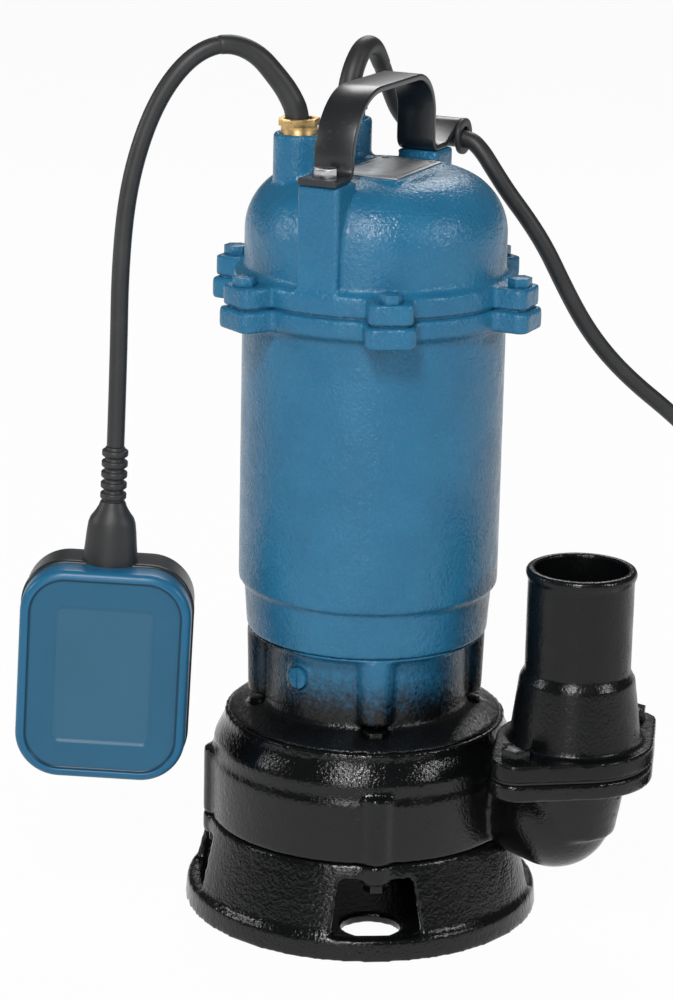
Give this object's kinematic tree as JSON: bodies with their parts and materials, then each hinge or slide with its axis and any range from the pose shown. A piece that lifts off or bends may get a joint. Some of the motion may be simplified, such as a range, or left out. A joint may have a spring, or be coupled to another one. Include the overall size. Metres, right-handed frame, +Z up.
{
  "type": "submersible sump pump",
  "caption": "Submersible drainage pump with holed stand, side discharge elbow and hose tail, carrying handle, hanging float switch and coiled mains cable.",
  "frame": {"origin": "centre of the stand's underside, on the shaft's axis", "axes": "+Z up along the shaft and the hose tail, -Y towards the front cover bolt and the front stand window, the discharge elbow at the front right (+X, -Y), the float at -X"},
  "size_m": [0.5547, 0.2188, 0.4215],
  "materials": {
    "black_cast_paint": "gloss",
    "blue_cast_paint": "gloss",
    "sealing_rubber": "matte",
    "raw_cast_iron": "matte",
    "steel": "satin",
    "zinc_steel": "satin",
    "lamination_steel": "satin",
    "cast_aluminium": "satin",
    "copper_winding": "satin",
    "seal_ceramic": "gloss",
    "seal_carbon": "matte",
    "brass": "gloss",
    "black_strap_paint": "satin",
    "bare_plate": "satin",
    "white_plastic": "matte",
    "float_blue_paint": "gloss",
    "float_black_plastic": "matte",
    "cable_rubber": "satin",
    "nickel_pins": "gloss"
  },
  "bodies": {
    "pump_body": {"base_stand": "black_cast_paint", "stand_bolts": "black_cast_paint", "pump_casing": "black_cast_paint", "casing_bolts": "black_cast_paint", "hose_tail": "black_cast_paint", "outlet_bolts": "black_cast_paint", "outlet_gasket": "sealing_rubber", "casing_seal": "sealing_rubber", "oil_chamber": "blue_cast_paint", "oil_plug": "blue_cast_paint", "motor_housing": "blue_cast_paint", "housing_gasket": "sealing_rubber", "top_cover": "blue_cast_paint", "cover_bolts": "blue_cast_paint", "stator_core": "lamination_steel", "stator_winding": "copper_winding", "lower_bearing_outer_race": "steel", "upper_bearing_outer_race": "steel", "bearing_bracket": "raw_cast_iron", "wave_washer": "steel", "seal_seat": "seal_ceramic", "lip_seal": "sealing_rubber", "float_gland_nut": "brass", "power_gland_nut": "brass", "cable_seals": "sealing_rubber", "handle": "black_strap_paint", "handle_bolts": "zinc_steel", "cable_grommet": "cable_rubber", "nameplate": "bare_plate", "nameplate_rivets": "cast_aluminium", "capacitor": "cast_aluminium", "terminal_block": "white_plastic", "float_cable": "cable_rubber", "float_cable_sleeve": "cable_rubber", "power_cable_sleeve": "cable_rubber", "power_cable": "cable_rubber", "power_coil": "cable_rubber", "coil_tie": "float_black_plastic", "power_plug": "cable_rubber", "plug_pins": "nickel_pins"},
    "rotor": {"shaft": "steel", "impeller": "raw_cast_iron", "impeller_key": "steel", "impeller_nut": "zinc_steel", "rotor_core": "lamination_steel", "rotor_end_rings": "cast_aluminium", "seal_face": "seal_carbon", "seal_bellows": "sealing_rubber", "lower_bearing_inner_race": "steel", "upper_bearing_inner_race": "steel"},
    "lower_ball_set": {"lower_bearing_balls": "steel"},
    "upper_ball_set": {"upper_bearing_balls": "steel"},
    "float": {"float_front_shell": "float_blue_paint", "float_rear_shell": "float_black_plastic", "float_boot": "cable_rubber", "float_relief": "cable_rubber", "float_microswitch": "float_black_plastic"},
    "float_ball": {"float_ball": "steel"},
    "switch_lever": {"switch_lever": "steel"}
  },
  "joints": [
    {"name": "rotor_spin", "type": "hinge", "parent": "pump_body", "child": "rotor", "pos_m": [0, 0, 0.2], "axis": [0, 0, 1], "continuous": true},
    {"name": "lower_cage_spin", "type": "hinge", "parent": "pump_body", "child": "lower_ball_set", "pos_m": [0, 0, 0.1457], "axis": [0, 0, 1], "continuous": true},
    {"name": "upper_cage_spin", "type": "hinge", "parent": "pump_body", "child": "upper_ball_set", "pos_m": [0, 0, 0.2895], "axis": [0, 0, 1], "continuous": true},
    {"name": "float_swing", "type": "hinge", "parent": "pump_body", "child": "float", "pos_m": [-0.1213, -0.0212, 0.218], "axis": [-0.0906, -0.9959, 0], "range_deg": [-75, 0], "deforming": ["float_relief"]},
    {"name": "ball_roll", "type": "slide", "parent": "float", "child": "float_ball", "axis": [0.0417, -0.0038, 0.9991], "range_m": [0, 0.034]},
    {"name": "lever_press", "type": "hinge", "parent": "float", "child": "switch_lever", "pos_m": [-0.13673, -0.0198, 0.13498], "axis": [-0.0906, -0.9959, 0], "range_deg": [0, 4], "stiffness_Nm_per_rad": 0.02}
  ],
  "couplings": [
    {"joint": "lower_cage_spin", "follows": "rotor_spin", "ratio": 0.3807},
    {"joint": "upper_cage_spin", "follows": "rotor_spin", "ratio": 0.384}
  ]
}
